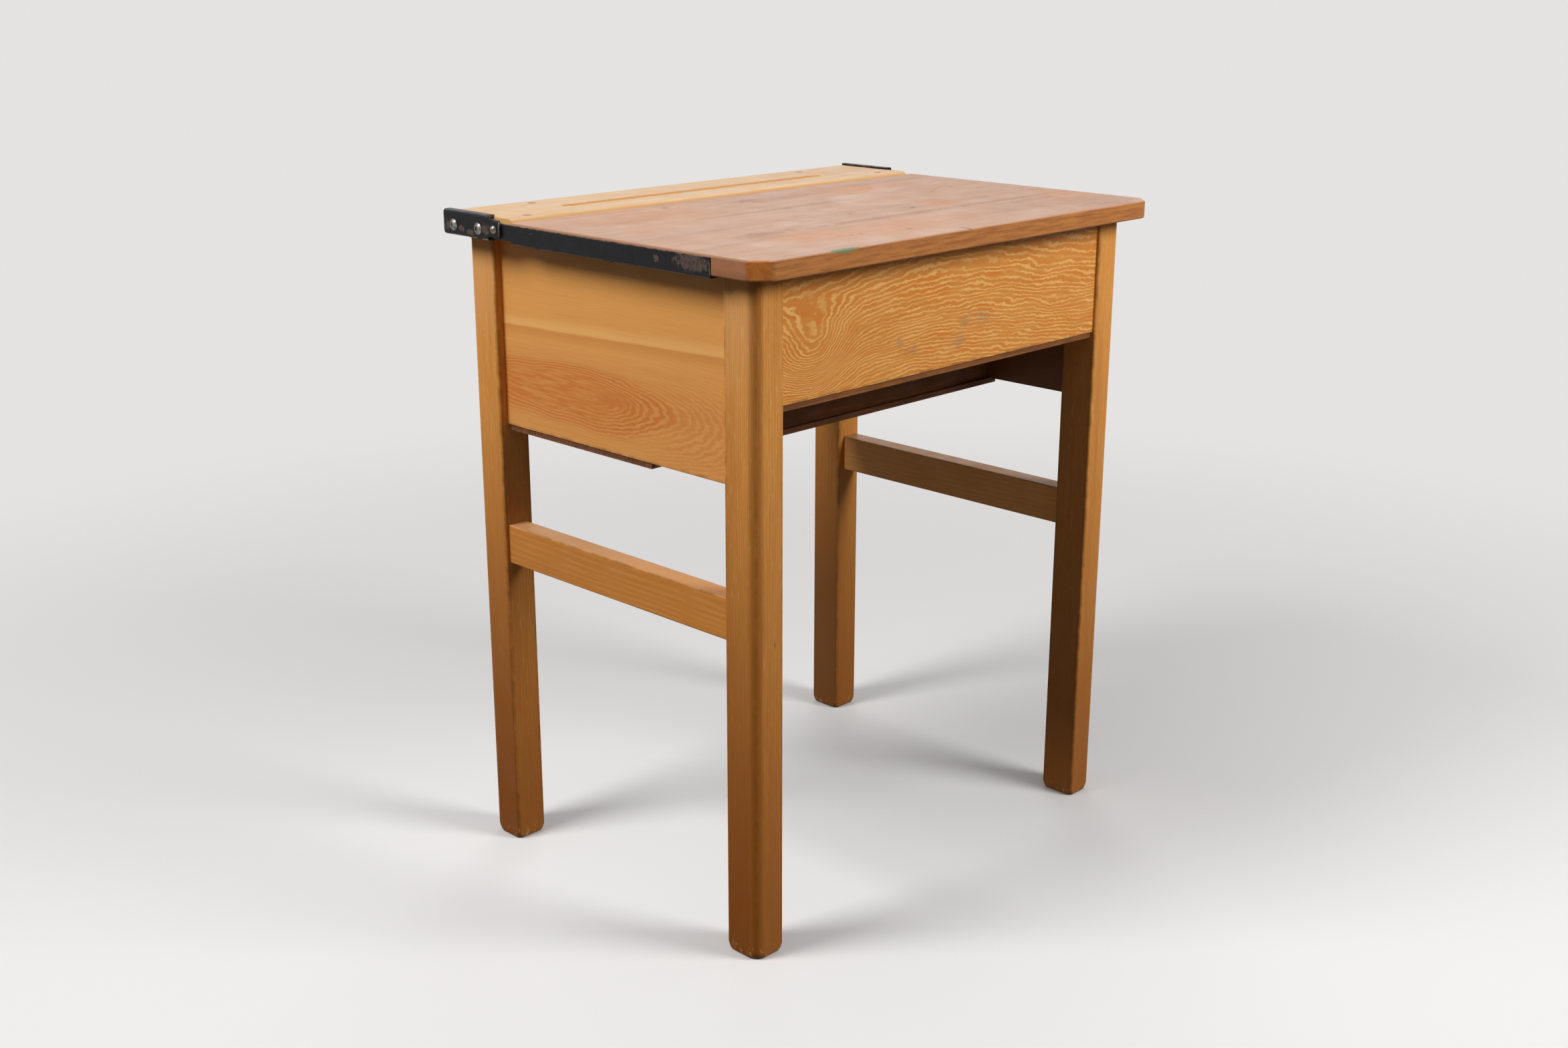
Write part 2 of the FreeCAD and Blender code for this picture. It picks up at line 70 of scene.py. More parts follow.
class Shader:
    """A material and short ways to add its nodes.  Lengths are millimetres in object space."""

    def __init__(self, name, roughness=0.5, metallic=0.0, specular=0.3):
        self.material = bpy.data.materials.new(name)
        self.material.use_nodes = True
        self.tree = self.material.node_tree
        self.surface = self.tree.nodes["Principled BSDF"]
        self.set("Roughness", roughness)
        self.set("Metallic", metallic)
        self.set("Specular IOR Level", specular)
        coordinates = self.add("TexCoord")
        self.normal = coordinates.outputs["Normal"]
        self.point = self.vector("SCALE", coordinates.outputs["Object"], scale=1 / MM)
        self.x, self.y, self.z = self.add("SeparateXYZ", {0: self.point}).outputs

    def add(self, kind, inputs=None, **settings):
        return add_node(self.tree, kind, inputs, **settings)

    def set(self, name, value):
        """Gives one of the surface's own inputs a value or a link."""
        if isinstance(value, bpy.types.NodeSocket):
            self.tree.links.new(value, self.surface.inputs[name])
        else:
            self.surface.inputs[name].default_value = value

    def math(self, operation, a, b=0.0, third=0.0):
        return self.add("Math", {0: a, 1: b, 2: third}, operation=operation).outputs[0]

    def fold(self, operation, values):
        result = values[0]
        for value in values[1:]:
            result = self.math(operation, result, value)
        return result

    def plus(self, *values):
        return self.fold("ADD", values)

    def minus(self, a, b):
        return self.math("SUBTRACT", a, b)

    def times(self, *values):
        return self.fold("MULTIPLY", values)

    def over(self, a, b):
        return self.math("DIVIDE", a, b)

    def least(self, *values):
        return self.fold("MINIMUM", values)

    def most(self, *values):
        return self.fold("MAXIMUM", values)

    def apart(self, a, b):
        """How far two values lie apart."""
        return self.math("ABSOLUTE", self.minus(a, b))

    def length(self, a, b):
        """Length of the step that goes a one way and b square to it."""
        return self.math("SQRT", self.plus(self.times(a, a), self.times(b, b)))

    def vector(self, operation, a, b=None, scale=None):
        inputs = {0: a}
        if b is not None:
            inputs[1] = b
        if scale is not None:
            inputs["Scale"] = scale
        return self.add("VectorMath", inputs, operation=operation).outputs[0]

    def combine(self, x, y, z):
        return self.add("CombineXYZ", {0: x, 1: y, 2: z}).outputs[0]

    def facing(self):
        """The surface's direction as three values from -1 to 1."""
        return self.add("SeparateXYZ", {0: self.normal}).outputs

    def noise(self, sizes, detail=2.0, roughness=0.5, seed=0.0, space=None):
        """Noise from 0 to 1 whose features are about sizes millimetres long: one size or one per axis."""
        if isinstance(sizes, (int, float)):
            sizes = (sizes,) * 3
        point = self.point if space is None else space
        cells = self.vector("MULTIPLY", point, tuple(1 / size for size in sizes))
        return self.add("TexNoise", {"Vector": cells, "W": seed, "Scale": 1.0, "Detail": detail,
                                     "Roughness": roughness}, noise_dimensions="4D").outputs[0]

    def centred(self, noise, spread):
        """Noise as an offset around nought, about spread millimetres from end to end."""
        return self.times(self.minus(noise, 0.5), spread)

    def ramp(self, value, low, high, to_low=0.0, to_high=1.0):
        """Smooth step of value from low to high."""
        return self.add("MapRange", {"Value": value, "From Min": low, "From Max": high, "To Min": to_low,
                                     "To Max": to_high}, interpolation_type="SMOOTHSTEP").outputs[0]

    def mix(self, factor, a, b):
        return self.add("Mix", {0: factor, 6: a, 7: b}, data_type="RGBA").outputs[2]

    def tint(self, colour, tone, *amounts):
        """The colour drawn towards tone by the product of the amounts."""
        return self.mix(self.times(*amounts), colour, tone)

    def spot(self, centre, radii, soft=0.35, ragged=0.5, size=4.0):
        """1 inside an uneven ellipsoid, 0 outside."""
        offset = self.vector("SUBTRACT", self.point, centre)
        scaled = self.vector("DIVIDE", offset, radii)
        reach = self.add("VectorMath", {0: scaled}, operation="LENGTH").outputs["Value"]
        uneven = self.centred(self.noise(size, 3.0), ragged * 4)
        return self.ramp(self.plus(reach, uneven), 1 + soft, 1 - soft)

    def edge_distance(self, node):
        """Distance in millimetres from the nearest edge of a node's box, on its surface."""
        low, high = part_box(node)
        gaps = []
        for axis, value in enumerate((self.x, self.y, self.z)):
            middle = (low[axis] + high[axis]) / 2 / MM
            half = (high[axis] - low[axis]) / 2 / MM
            gaps.append(self.minus(half, self.apart(value, middle)))
        first, second, third = gaps
        return self.most(self.least(first, second), self.least(self.most(first, second), third))

    def bump(self, height, strength=0.3, depth=0.3):
        """Surface relief: height from 0 to 1 stands for depth millimetres."""
        self.set("Normal", self.add("Bump", {"Height": height, "Strength": strength,
                                             "Distance": depth * MM}).outputs[0])


# ---- Wood ---------------------------------------------------------------------------
AXES = {"X": (0, 1, 2), "Y": (1, 0, 2), "Z": (2, 0, 1)}     # grain axis first
PORE_STRENGTH = 0.45


class Wood(Shader):
    """Varnished timber.  u runs along the grain, v and w across it."""

    def __init__(self, name, grain, seed, roughness=0.45, specular=0.2):
        super().__init__(name, roughness, specular=specular)
        self.seed = seed
        order = [(self.x, self.y, self.z)[axis] for axis in AXES[grain]]
        self.u, self.v, self.w = order
        self.fibre_space = self.combine(*order)

    def grain_noise(self, along, across, detail=2.0, roughness=0.5, shift=0.0):
        return self.noise((along, across, across), detail, roughness, self.seed + shift, self.fibre_space)

    def straight_rings(self, pith, spacing, warp):
        """Ring count outwards from a pith line that runs along the grain at pith (v, w)."""
        span = self.length(self.minus(self.v, pith[0]), self.minus(self.w, pith[1]))
        bend = self.centred(self.grain_noise(260, 45, shift=3.1), warp)
        return self.over(self.plus(span, bend), spacing)

    def wave(self, rings):
        """One swing from -1 to 1 and back for each ring."""
        return self.math("SINE", self.times(rings, math.tau))

    def lines(self, rings, sharp, broken, keep):
        """Soft lines along the rings, broken up along the grain."""
        height = self.math("MULTIPLY_ADD", self.wave(rings), 0.5, 0.5)
        cells = self.combine(self.over(self.u, broken), rings, 0.0)
        gaps = self.ramp(self.noise(1.0, seed=self.seed + 7.7, space=cells), 0.3, 0.7, keep, 1.25)
        return self.ramp(self.times(height, gaps), *sharp)

    def body(self, base, light, dark, rings, line_strength=0.5, fibre_strength=0.3, patch_strength=0.25,
             sharp=(0.5, 0.95), broken=14.0, keep=0.55, patch_size=(220, 45)):
        """Sets the timber's relief; returns its colour for more layers."""
        line = self.lines(rings, sharp, broken, keep)
        fibre = self.grain_noise(70, 1.1, 4.0, 0.6, 1.3)
        patch = self.grain_noise(*patch_size, shift=2.2)
        pores = self.ramp(self.grain_noise(5.5, 0.32, 1.0, 0.5, 4.4), 0.66, 0.8)
        colour = self.tint(base, light, line, line_strength)
        colour = self.tint(colour, dark, self.ramp(patch, 0.42, 0.75, 0.0, patch_strength))
        colour = self.tint(colour, dark, self.ramp(fibre, 0.45, 0.8, 0.0, fibre_strength))
        colour = self.tint(colour, light, self.ramp(fibre, 0.5, 0.2, 0.0, fibre_strength * 0.8))
        colour = self.tint(colour, dark, pores, PORE_STRENGTH)
        relief = self.plus(self.times(fibre, 0.5), self.times(line, 0.3))
        self.relief = self.minus(relief, self.times(pores, 0.5))
        return colour

    def finish(self, colour, rough=(0.36, 0.56), strength=0.25, depth=0.25):
        """Sets the surface's colour, uneven gloss and relief."""
        self.set("Base Color", colour)
        self.set("Roughness", self.ramp(self.noise(35, 4.0, 0.6, self.seed + 5.0), 0.3, 0.7, *rough))
        self.bump(self.relief, strength, depth)
        return self.material


GRIME = srgb(98, 56, 20)
BARE_WOOD = srgb(212, 168, 116)


def worn_edges(wood, node, colour, amount, reach):
    """Rubbed and darkened edges, uneven along their length; reach in millimetres."""
    edge = wood.ramp(wood.edge_distance(node), reach, reach * 0.3)
    uneven = wood.ramp(wood.noise(18, 3.0, 0.6, wood.seed + 9.0), 0.35, 0.65)
    return wood.tint(colour, GRIME, edge, uneven, amount)


# ---- Legs and stretchers ------------------------------------------------------------
LEG_TONES = (srgb(213, 143, 67), srgb(234, 174, 102), srgb(172, 101, 40))     # base, light, dark
LEG_STREAK = srgb(240, 190, 118)
LEG_LOW_PAINTED_SHADE = srgb(155, 89, 33)
LEG_SIDE_PAINTED_SHADE = srgb(128, 65, 4)
LEG_SIDE_PAINTED_LIGHT = srgb(216, 162, 108)
OLD_VARNISH = srgb(158, 92, 30)

# Heights above the floor, in millimetres, from where a tone starts to where it is full.
# Painted shade over the whole leg, deeper towards the foot:
LOW_PAINTED_SHADE = (620.0, -40.0)
# Painted shade on the faces that face sideways, deeper towards the foot:
SIDE_PAINTED_SHADE = (600.0, -60.0)
# Painted light on the faces that face sideways, paler towards the top:
SIDE_PAINTED_LIGHT = (540.0, 660.0)
SCUFFS = (20.0, 1.0)


def leg_material(node, seed, pith, flecks, corner=None, dirt_and_painted_shade=0.8, side_shade_tone=LEG_SIDE_PAINTED_SHADE):
    """Straight grain with painted shade, darker towards the foot and most on the faces that face sideways,
    and painted light on the upper part of those faces; old varnish round the upright line at corner.
    """
    wood = Wood(node + "_look", "Z", seed, specular=0.1)
    rings = wood.straight_rings(pith, 2.3, 9.0)
    colour = wood.body(*LEG_TONES, rings, line_strength=flecks, broken=30.0, sharp=(0.3, 1.1),
                       patch_size=(260, 22), patch_strength=0.4, fibre_strength=0.42)
    pale = wood.ramp(wood.grain_noise(17, 1.8, 3.0, 0.6, 18.0), 0.55, 0.72, 0.0, 0.5)
    colour = wood.tint(colour, LEG_STREAK, pale)
    # Painted shade: the whole leg drawn darker towards the foot, where less light falls.
    colour = wood.tint(colour, LEG_LOW_PAINTED_SHADE, wood.ramp(wood.z, *LOW_PAINTED_SHADE, 0.0, 0.85))
    sideways = wood.ramp(wood.math("ABSOLUTE", wood.facing()[0]), 0.6, 0.95)
    # Painted shade on the faces that face sideways, deeper towards the foot, set leg by leg.
    colour = wood.tint(colour, side_shade_tone, sideways, wood.ramp(wood.z, *SIDE_PAINTED_SHADE, 0.0, dirt_and_painted_shade))
    # Painted light: the upper part of the faces that face sideways drawn paler.
    colour = wood.tint(colour, LEG_SIDE_PAINTED_LIGHT, sideways, wood.ramp(wood.z, *SIDE_PAINTED_LIGHT, 0.0, 0.45))
    if corner:
        reach = wood.length(wood.minus(wood.x, corner[0]), wood.minus(wood.y, corner[1]))
        wander = wood.centred(wood.grain_noise(60, 9, shift=15.0), 6.0)
        colour = wood.tint(colour, OLD_VARNISH, wood.ramp(wood.plus(reach, wander), 13.0, 6.0), 0.55)
    colour = worn_edges(wood, node, colour, 0.4, 5.0)
    # Small chips down to bare wood at the foot, and a few dark marks all over.
    scuff = wood.ramp(wood.noise((3.5, 3.5, 7.0), 4.0, 0.7, seed + 12.0), 0.54, 0.66)
    colour = wood.tint(colour, BARE_WOOD, scuff, wood.ramp(wood.z, *SCUFFS), 0.8)
    marks = wood.ramp(wood.noise((6.0, 6.0, 14.0), seed=seed + 14.0), 0.73, 0.76)
    colour = wood.tint(colour, GRIME, marks, 0.5)
    return wood.finish(colour)


# Per side: pith x; base, light and dark tone; how strongly the top is painted, and to what tone: painted
# light on the left top, painted shade on the right one.
STRETCHERS = {
    "stretcher_left": (-180.0, (srgb(198, 126, 51), srgb(222, 160, 86), srgb(162, 93, 35)),
                       0.6, srgb(204, 156, 112)),
    # The right stretcher's tones are painted lighter than the left's, standing in for light on its shaded
    # face.
    "stretcher_right": (180.0, (srgb(236, 166, 90), srgb(248, 196, 122), srgb(204, 132, 66)),
                        0.8, srgb(152, 112, 84))}


def stretcher_material(node, seed):
    pith_x, tones, rubbed_and_painted_light, painted_top_tone = STRETCHERS[node]
    wood = Wood(node + "_look", "Y", seed)
    rings = wood.straight_rings((pith_x, 420.0), 4.0, 10.0)
    colour = wood.body(*tones, rings, line_strength=0.3, broken=40.0, sharp=(0.3, 1.1))
    # Painted light on the left stretcher's top, painted shade on the right stretcher's top.
    colour = wood.tint(colour, painted_top_tone, wood.ramp(wood.facing()[2], 0.5, 0.9, 0.0, rubbed_and_painted_light))
    colour = worn_edges(wood, node, colour, 0.4, 3.0)
    return wood.finish(colour)


# ---- Panels and boards --------------------------------------------------------------
PANEL_TONES = (srgb(219, 150, 78), srgb(236, 178, 112), srgb(188, 114, 52))     # base, light, dark
PANEL_RING = srgb(200, 114, 50)
PANEL_WARM = srgb(204, 120, 46)
PANEL_ABOVE = srgb(226, 162, 84)
PANEL_BAND = srgb(244, 190, 116)
PANEL_SHADE = srgb(190, 116, 50)
PANEL_THIN = srgb(188, 112, 48)
PANEL_PAINTED_SHADE = srgb(92, 50, 26)
RISER_FRONT = -38.0      # the part ahead of the riser and under the front floor is open below
FRONT_FLOOR = 556.0


def side_panel_material(node, seed, heart_y, heart_z, band_z):
    """Nested long arcs low on the panel, opening towards the back, under a straight-grained part."""
    wood = Wood(node + "_look", "Y", seed)
    wander = wood.centred(wood.grain_noise(90, 30, shift=3.1), 11.0)
    jitter = wood.centred(wood.grain_noise(13, 5.5, 2.0, 0.6, 6.1), 4.6)
    jitter = wood.times(jitter, wood.ramp(wood.u, heart_y + 60, heart_y - 70, 0.45, 1.0))
    # The arcs are stretched along the grain, more behind their heart than ahead of it.
    ahead = wood.minus(heart_y, wood.u)
    ahead = wood.most(wood.over(ahead, 4.0), wood.over(ahead, -7.5))
    rise = wood.minus(wood.w, heart_z)
    rise = wood.most(wood.times(rise, 1.15), wood.times(rise, -0.95))
    span = wood.plus(wood.length(ahead, rise), wander)
    rings = wood.over(wood.plus(span, jitter), 3.1)
    colour = wood.body(*PANEL_TONES, rings, line_strength=0.12, broken=26.0, sharp=(0.2, 1.0), keep=0.6,
                       patch_size=(320, 30), patch_strength=0.2)
    between = wood.ramp(wood.wave(rings), 0.75, -0.45)
    solid = wood.ramp(wood.grain_noise(46, 9, shift=12.0), 0.5, 0.68)
    between = wood.most(between, wood.times(solid, wood.ramp(span, 24.0, 12.0)))
    # Towards the back the arcs break up into long streaks.
    streaks = wood.ramp(wood.grain_noise(34, 2.6, 3.0, 0.6, 16.0), 0.58, 0.42)
    broken_up = wood.times(wood.ramp(wood.u, heart_y - 44, heart_y + 24), wood.ramp(span, 27.0, 18.0))
    between = wood.plus(wood.times(streaks, broken_up), wood.times(between, wood.minus(1.0, broken_up)))
    inside = wood.ramp(span, 38.0, 27.0, 0.0, 0.85)
    outer = wood.times(wood.ramp(span, 84.0, 40.0, 0.0, 0.34), wood.ramp(wood.u, -30.0, -95.0),
                       wood.ramp(wood.w, band_z - 12, band_z - 50))
    colour = wood.tint(colour, PANEL_RING, between, wood.most(inside, outer))
    colour = wood.tint(colour, PANEL_WARM, wood.ramp(span, 46.0, 10.0, 0.0, 0.35))
    # The straight-grained part: a pale band, a thin shade under it and fine lines above.
    height = wood.math("MULTIPLY_ADD", wood.u, 0.034, third=wood.w)
    height = wood.plus(height, wood.centred(wood.grain_noise(160, 60, shift=8.0), 6.0))
    colour = wood.tint(colour, PANEL_ABOVE, wood.ramp(height, band_z - 30, band_z), 0.4)
    colour = wood.tint(colour, PANEL_BAND, wood.ramp(height, band_z - 1, band_z + 2),
                       wood.ramp(height, band_z + 16, band_z + 3), 0.42)
    colour = wood.tint(colour, PANEL_SHADE, wood.ramp(height, band_z - 14, band_z - 1),
                       wood.ramp(height, band_z + 1, band_z - 1), 0.4)
    thin = wood.ramp(wood.grain_noise(130, 1.5, shift=14.0), 0.62, 0.72)
    colour = wood.tint(colour, PANEL_THIN, thin, wood.ramp(height, band_z - 6, band_z + 8), 0.22)
    colour = worn_edges(wood, node, colour, 0.5, 4.0)
    # Painted shade: the inner face of the part that is open below is drawn dark, where it lies in shade
    # under the front floor.
    inward = wood.ramp(wood.times(wood.facing()[0], wood.math("SIGN", wood.x)), -0.6, -0.95)
    open_part = wood.times(wood.ramp(wood.y, RISER_FRONT + 4, RISER_FRONT),
                           wood.ramp(wood.z, FRONT_FLOOR + 4, FRONT_FLOOR))
    colour = wood.tint(colour, PANEL_PAINTED_SHADE, inward, wood.times(open_part, 0.85))
    return wood.finish(colour)


WILD_TONES = (srgb(213, 143, 65), srgb(244, 194, 118), srgb(178, 106, 44))     # base, light, dark
WILD_BETWEEN = srgb(206, 124, 46)
WILD_WARM = srgb(212, 116, 38)
SMUDGE = srgb(150, 122, 92)
PANEL_DIRT = srgb(168, 128, 92)

# Whorls of the figure: centre x, z; reach in x, z; how far they push the lines up.
FRONT_WHORLS = ((-204.0, 606.0, 46.0, 36.0, 50.0), (-38.0, 560.0, 190.0, 130.0, -30.0),
                (60.0, 692.0, 320.0, 36.0, -21.0))
BACK_WHORLS = ((-150.0, 545.0, 170.0, 60.0, 34.0), (120.0, 655.0, 240.0, 60.0, -30.0),
               (60.0, 520.0, 90.0, 40.0, 18.0))
# Smudges on the front panel: centre x, z; radii x, z.
FRONT_SMUDGES = ((-80.0, 597.0, 5.0, 5.0), (28.0, 614.0, 4.0, 2.6), (20.0, 604.0, 7.0, 6.0),
                 (50.0, 606.0, 12.0, 5.0), (12.0, 586.0, 10.0, 7.0), (-60.0, 588.0, 9.0, 4.0))
FRONT_PANEL_Y = -197.0
SMUDGE_DEPTH = 9.0


def wild_panel_material(node, seed, whorls, smudges=()):
    """Wavy figure: fine near-level lines that sweep round whorls."""
    wood = Wood(node + "_look", "X", seed)
    flow = wood.centred(wood.noise((230, 80, 70), seed=seed), 26.0)
    waves = wood.centred(wood.noise((58, 20, 17), seed=seed + 2), 13.0)
    jag = wood.centred(wood.noise((9, 8, 6), 3.0, 0.6, seed + 4), 6.0)
    field = wood.plus(wood.plus(wood.z, flow), wood.plus(waves, jag))
    for centre_x, centre_z, reach_x, reach_z, height in whorls:
        dx = wood.over(wood.minus(wood.x, centre_x), reach_x)
        dz = wood.over(wood.minus(wood.z, centre_z), reach_z)
        away = wood.plus(wood.times(dx, dx), wood.times(dz, dz))
        field = wood.plus(field, wood.times(wood.math("EXPONENT", wood.times(away, -1.0)), height))
    rings = wood.over(field, 4.3)
    colour = wood.body(*WILD_TONES, rings, line_strength=0.6, broken=30.0, sharp=(0.35, 1.0),
                       patch_size=(60, 25), patch_strength=0.15)
    between = wood.ramp(wood.wave(rings), 0.7, -0.4)
    share = wood.ramp(wood.noise((70, 40, 20), seed=seed + 6), 0.36, 0.66, 0.3, 0.85)
    colour = wood.tint(colour, WILD_BETWEEN, between, share)
    warm = wood.ramp(wood.noise((44, 40, 12), seed=seed + 8), 0.52, 0.66, 0.0, 0.5)
    colour = wood.tint(colour, WILD_WARM, warm, between)
    for x, z, radius_x, radius_z in smudges:
        smudge = wood.spot((x, FRONT_PANEL_Y, z), (radius_x, SMUDGE_DEPTH, radius_z), 0.7, 0.7, 9.0)
        colour = wood.tint(colour, SMUDGE, smudge, 0.35)
    dirt_and_painted_shade = wood.ramp(wood.noise((34, 34, 22), 4.0, 0.65, seed + 10), 0.64, 0.78, 0.0, 0.22)
    colour = wood.tint(colour, PANEL_DIRT, dirt_and_painted_shade)
    colour = worn_edges(wood, node, colour, 0.5, 4.0)
    return wood.finish(colour, strength=0.3)


INNER_BASE = srgb(122, 72, 32)
INNER_LIGHT = srgb(150, 94, 46)
INNER_DARK = srgb(74, 42, 18)
INNER_SMEAR = srgb(84, 52, 30)
INNER_EDGE = srgb(170, 112, 62)
BOTTOM_BASE = srgb(104, 64, 44)


def inner_material(node, seed, base=INNER_BASE):
    """Dull, smeared and unvarnished boards inside and under the locker."""
    wood = Wood(node + "_look", "X", seed, 0.6)
    rings = wood.straight_rings((-300.0, 380.0), 6.0, 30.0)
    colour = wood.body(base, INNER_LIGHT, INNER_DARK, rings, line_strength=0.4, broken=30.0,
                       patch_size=(90, 40), patch_strength=0.5)
    smears = wood.ramp(wood.noise((70, 70, 18), 4.0, 0.6, seed + 20.0), 0.5, 0.7, 0.0, 0.5)
    colour = wood.tint(colour, INNER_SMEAR, smears)
    edge = wood.ramp(wood.edge_distance(node), 3.0, 0.5)
    rubbed_and_painted_light = wood.ramp(wood.noise((30, 9, 9), 3.0, 0.6, seed + 21.0), 0.42, 0.6)
    colour = wood.tint(colour, INNER_EDGE, edge, rubbed_and_painted_light, 0.35)
    return wood.finish(colour, (0.55, 0.75), 0.35)


# ---- Lid ----------------------------------------------------------------------------
LID_TOP = 705.3          # height at which the marks on the writing surface are centred
PATCH_DEPTH = 30.0
DOT_DEPTH = 6.0

# Marks on the writing surface.  Patches and streaks: centre x, y; radii x, y; strength.
LID_PATCHES = (((-161.0, -148.0), (34.0, 24.0), 0.5), ((142.0, 62.0), (58.0, 26.0), 0.55),
               ((115.0, -84.0), (30.0, 20.0), 0.45), ((-170.0, 64.0), (92.0, 44.0), 0.3),
               ((-60.0, -170.0), (110.0, 34.0), 0.35), ((262.0, -140.0), (34.0, 22.0), 0.4))
LID_STREAKS = (((60.0, -115.0), (185.0, 6.0), 0.7), ((-45.0, 6.0), (95.0, 6.0), 0.7),
               ((-178.0, -111.0), (38.0, 10.0), 0.75), ((20.0, 66.0), (60.0, 8.0), 0.5),
               ((-222.0, 40.0), (40.0, 8.0), 0.4), ((210.0, -134.0), (60.0, 7.0), 0.5),
               ((246.0, -205.0), (46.0, 16.0), 0.45), ((-10.0, 78.0), (40.0, 4.0), 0.6))
# Dots: centre x, y; radii x, y.
LID_DOTS = (((-56.0, -185.0), (2.4, 4.0)), ((-128.0, -175.0), (1.6, 3.0)), ((-115.0, -175.0), (1.6, 2.4)),
            ((-18.0, -73.0), (3.0, 2.0)), ((-122.0, 96.0), (4.0, 4.5)), ((-30.0, 73.0), (3.4, 2.6)),
            ((66.0, -86.0), (4.0, 3.0)))
# One scratch across the right half, as y = offset + slope * (x - middle).
SCRATCH_MIDDLE = 217.0
SCRATCH_SLOPE = 0.53
SCRATCH_OFFSET = 4.0
SEAM = ((-14.0, -224.0, 705.0), (2.4, 11.0, 6.0))
GREEN_PAINT = ((-196.0, -227.0, 704.5), (16.0, 4.5, 3.0))
LID_FRONT = (-219.0, -226.0)     # from clear of the front arris to on it

TOP_TONES = (srgb(180, 143, 120), srgb(198, 163, 143), srgb(140, 102, 79))     # base, light, dark
UNDER_TONES = (srgb(152, 102, 62), srgb(176, 124, 80), srgb(112, 68, 40))
PATCH_TONE = srgb(190, 128, 80)
STREAK_TONE = srgb(134, 92, 66)
PORE_TONE = srgb(136, 94, 70)
STAIN_TONE = srgb(190, 134, 92)
BLEACHED_TONE = srgb(200, 170, 156)
SCRATCH_TONE = srgb(120, 82, 64)
DOT_TONE = srgb(92, 58, 44)
SEAM_TONE = srgb(86, 52, 38)
EDGE_TONES = (srgb(184, 119, 60), srgb(150, 91, 45))
RIM_TONE = srgb(190, 128, 78)
END_TONES = (srgb(206, 124, 54), srgb(182, 107, 45))
PIT_TONE = srgb(118, 70, 36)
SIDE_TONE = srgb(148, 102, 78)
HANDLED_TONE = srgb(104, 66, 46)
RUBBED_TONE = srgb(160, 122, 98)
DENT_TONE = srgb(98, 60, 38)
PAINT_TONE = srgb(104, 132, 96)
UNDER_STREAK = srgb(104, 66, 42)


def writing_surface(wood, rings, pores):
    """Colour of the lid's top: worn pale, with long dark pores, stains, a scratch, dots and a seam."""
    top = wood.body(*TOP_TONES, rings, line_strength=0.25, broken=60.0, patch_size=(330, 26),
                    patch_strength=0.3, fibre_strength=0.35)
    for centre, radii, strength in LID_PATCHES:
        patch = wood.spot(centre + (LID_TOP,), radii + (PATCH_DEPTH,), 0.9, 0.4, 30.0)
        top = wood.tint(top, PATCH_TONE, patch, strength)
    fine = wood.ramp(wood.grain_noise(26, 1.6, 3.0, 0.6, 17.0), 0.42, 0.62, 0.25, 1.0)
    for centre, radii, strength in LID_STREAKS:
        patch = wood.spot(centre + (LID_TOP,), radii + (PATCH_DEPTH,), 0.6, 0.6, 14.0)
        top = wood.tint(top, STREAK_TONE, patch, fine, strength)
    top = wood.tint(top, PORE_TONE, pores)
    stain = wood.ramp(wood.noise((150, 80, 80), 3.0, 0.6, 33.0), 0.5, 0.72, 0.0, 0.4)
    top = wood.tint(top, STAIN_TONE, stain)
    bleached = wood.ramp(wood.noise((120, 60, 60), 3.0, 0.6, 37.0), 0.52, 0.72, 0.0, 0.4)
    top = wood.tint(top, BLEACHED_TONE, bleached)
    along = wood.minus(wood.x, SCRATCH_MIDDLE)
    beside = wood.apart(wood.math("MULTIPLY_ADD", along, -SCRATCH_SLOPE, third=wood.y), SCRATCH_OFFSET)
    scratch = wood.times(wood.ramp(beside, 1.1, 0.3), wood.ramp(wood.math("ABSOLUTE", along), 48.0, 30.0))
    top = wood.tint(top, SCRATCH_TONE, scratch, 0.45)
    for centre, radii in LID_DOTS:
        dot = wood.spot(centre + (LID_TOP,), radii + (DOT_DEPTH,), 0.4, 0.3, 3.0)
        top = wood.tint(top, DOT_TONE, dot, 0.6)
    return wood.tint(top, SEAM_TONE, wood.spot(*SEAM, 0.4, 0.2), 0.6)


def end_grain(wood, facing):
    """Colour of the clips and of the long sides, which are paler and greyer, most along their top arris."""
    pits = wood.ramp(wood.noise(0.9, 3.0, 0.6, 51.0), 0.4, 0.7, 0.0, 0.35)
    blotch = wood.ramp(wood.noise((9.0, 9.0, 7.0), 3.0, 0.6, 53.0), 0.35, 0.65)
    colour = wood.mix(blotch, *END_TONES)
    colour = wood.tint(colour, PIT_TONE, pits)
    side = wood.ramp(wood.math("ABSOLUTE", facing[1]), 0.5, 0.2)
    colour = wood.tint(colour, SIDE_TONE, side, 0.75)
    colour = wood.tint(colour, HANDLED_TONE, side, wood.ramp(wood.z, 696.0, 689.0, 0.0, 0.35))
    return wood.tint(colour, RUBBED_TONE, side, wood.ramp(wood.z, 702.6, 704.2, 0.0, 0.8))


